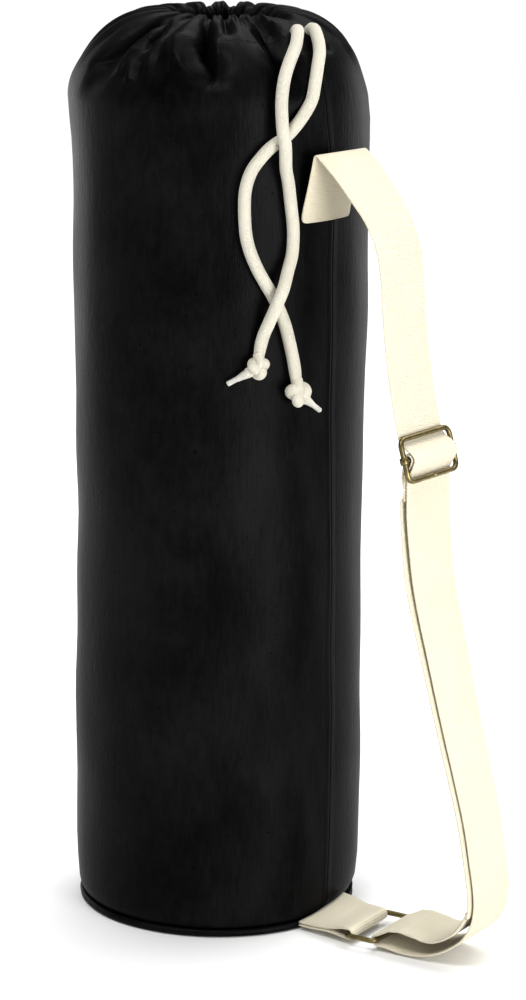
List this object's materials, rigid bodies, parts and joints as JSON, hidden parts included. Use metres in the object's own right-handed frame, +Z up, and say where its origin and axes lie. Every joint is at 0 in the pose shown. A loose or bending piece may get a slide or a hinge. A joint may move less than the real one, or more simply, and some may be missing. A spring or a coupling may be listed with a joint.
{
  "type": "yoga mat bag",
  "caption": "Upright cylindrical cotton bag for a rolled exercise mat, with a gathered drawcord mouth, knotted cord ends and an adjustable webbing shoulder strap on a wire ring.",
  "frame": {"origin": "centre of the round base, on the floor that the bag stands on", "axes": "+Z up along the bag, +X towards the side that carries the strap, +Y completes a right-handed frame"},
  "size_m": [0.3382, 0.202, 0.6345],
  "materials": {
    "black_cotton": "matte woven cotton canvas with a slubby yarn",
    "cream_cord": "matte braided cotton cord",
    "cream_webbing": "matte cotton webbing with fine crosswise ribs",
    "antique_brass": "darkened brass wire, half glossy",
    "clear_tip": "thin whitish plastic sleeve over the cord's end"
  },
  "bodies": {
    "root": {"bag_body": "black_cotton", "base_panel": "black_cotton", "base_welt": "black_cotton", "drawcord_hidden": "cream_cord", "drawcord_end_left": "cream_cord", "drawcord_end_right": "cream_cord", "knot_left": "cream_cord", "knot_right": "cream_cord", "tip_left": "clear_tip", "tip_right": "clear_tip", "strap_webbing": "cream_webbing", "slider_frame": "antique_brass", "slider_bar": "antique_brass", "ring": "antique_brass", "ring_tab": "cream_webbing"}
  },
  "joints": []
}
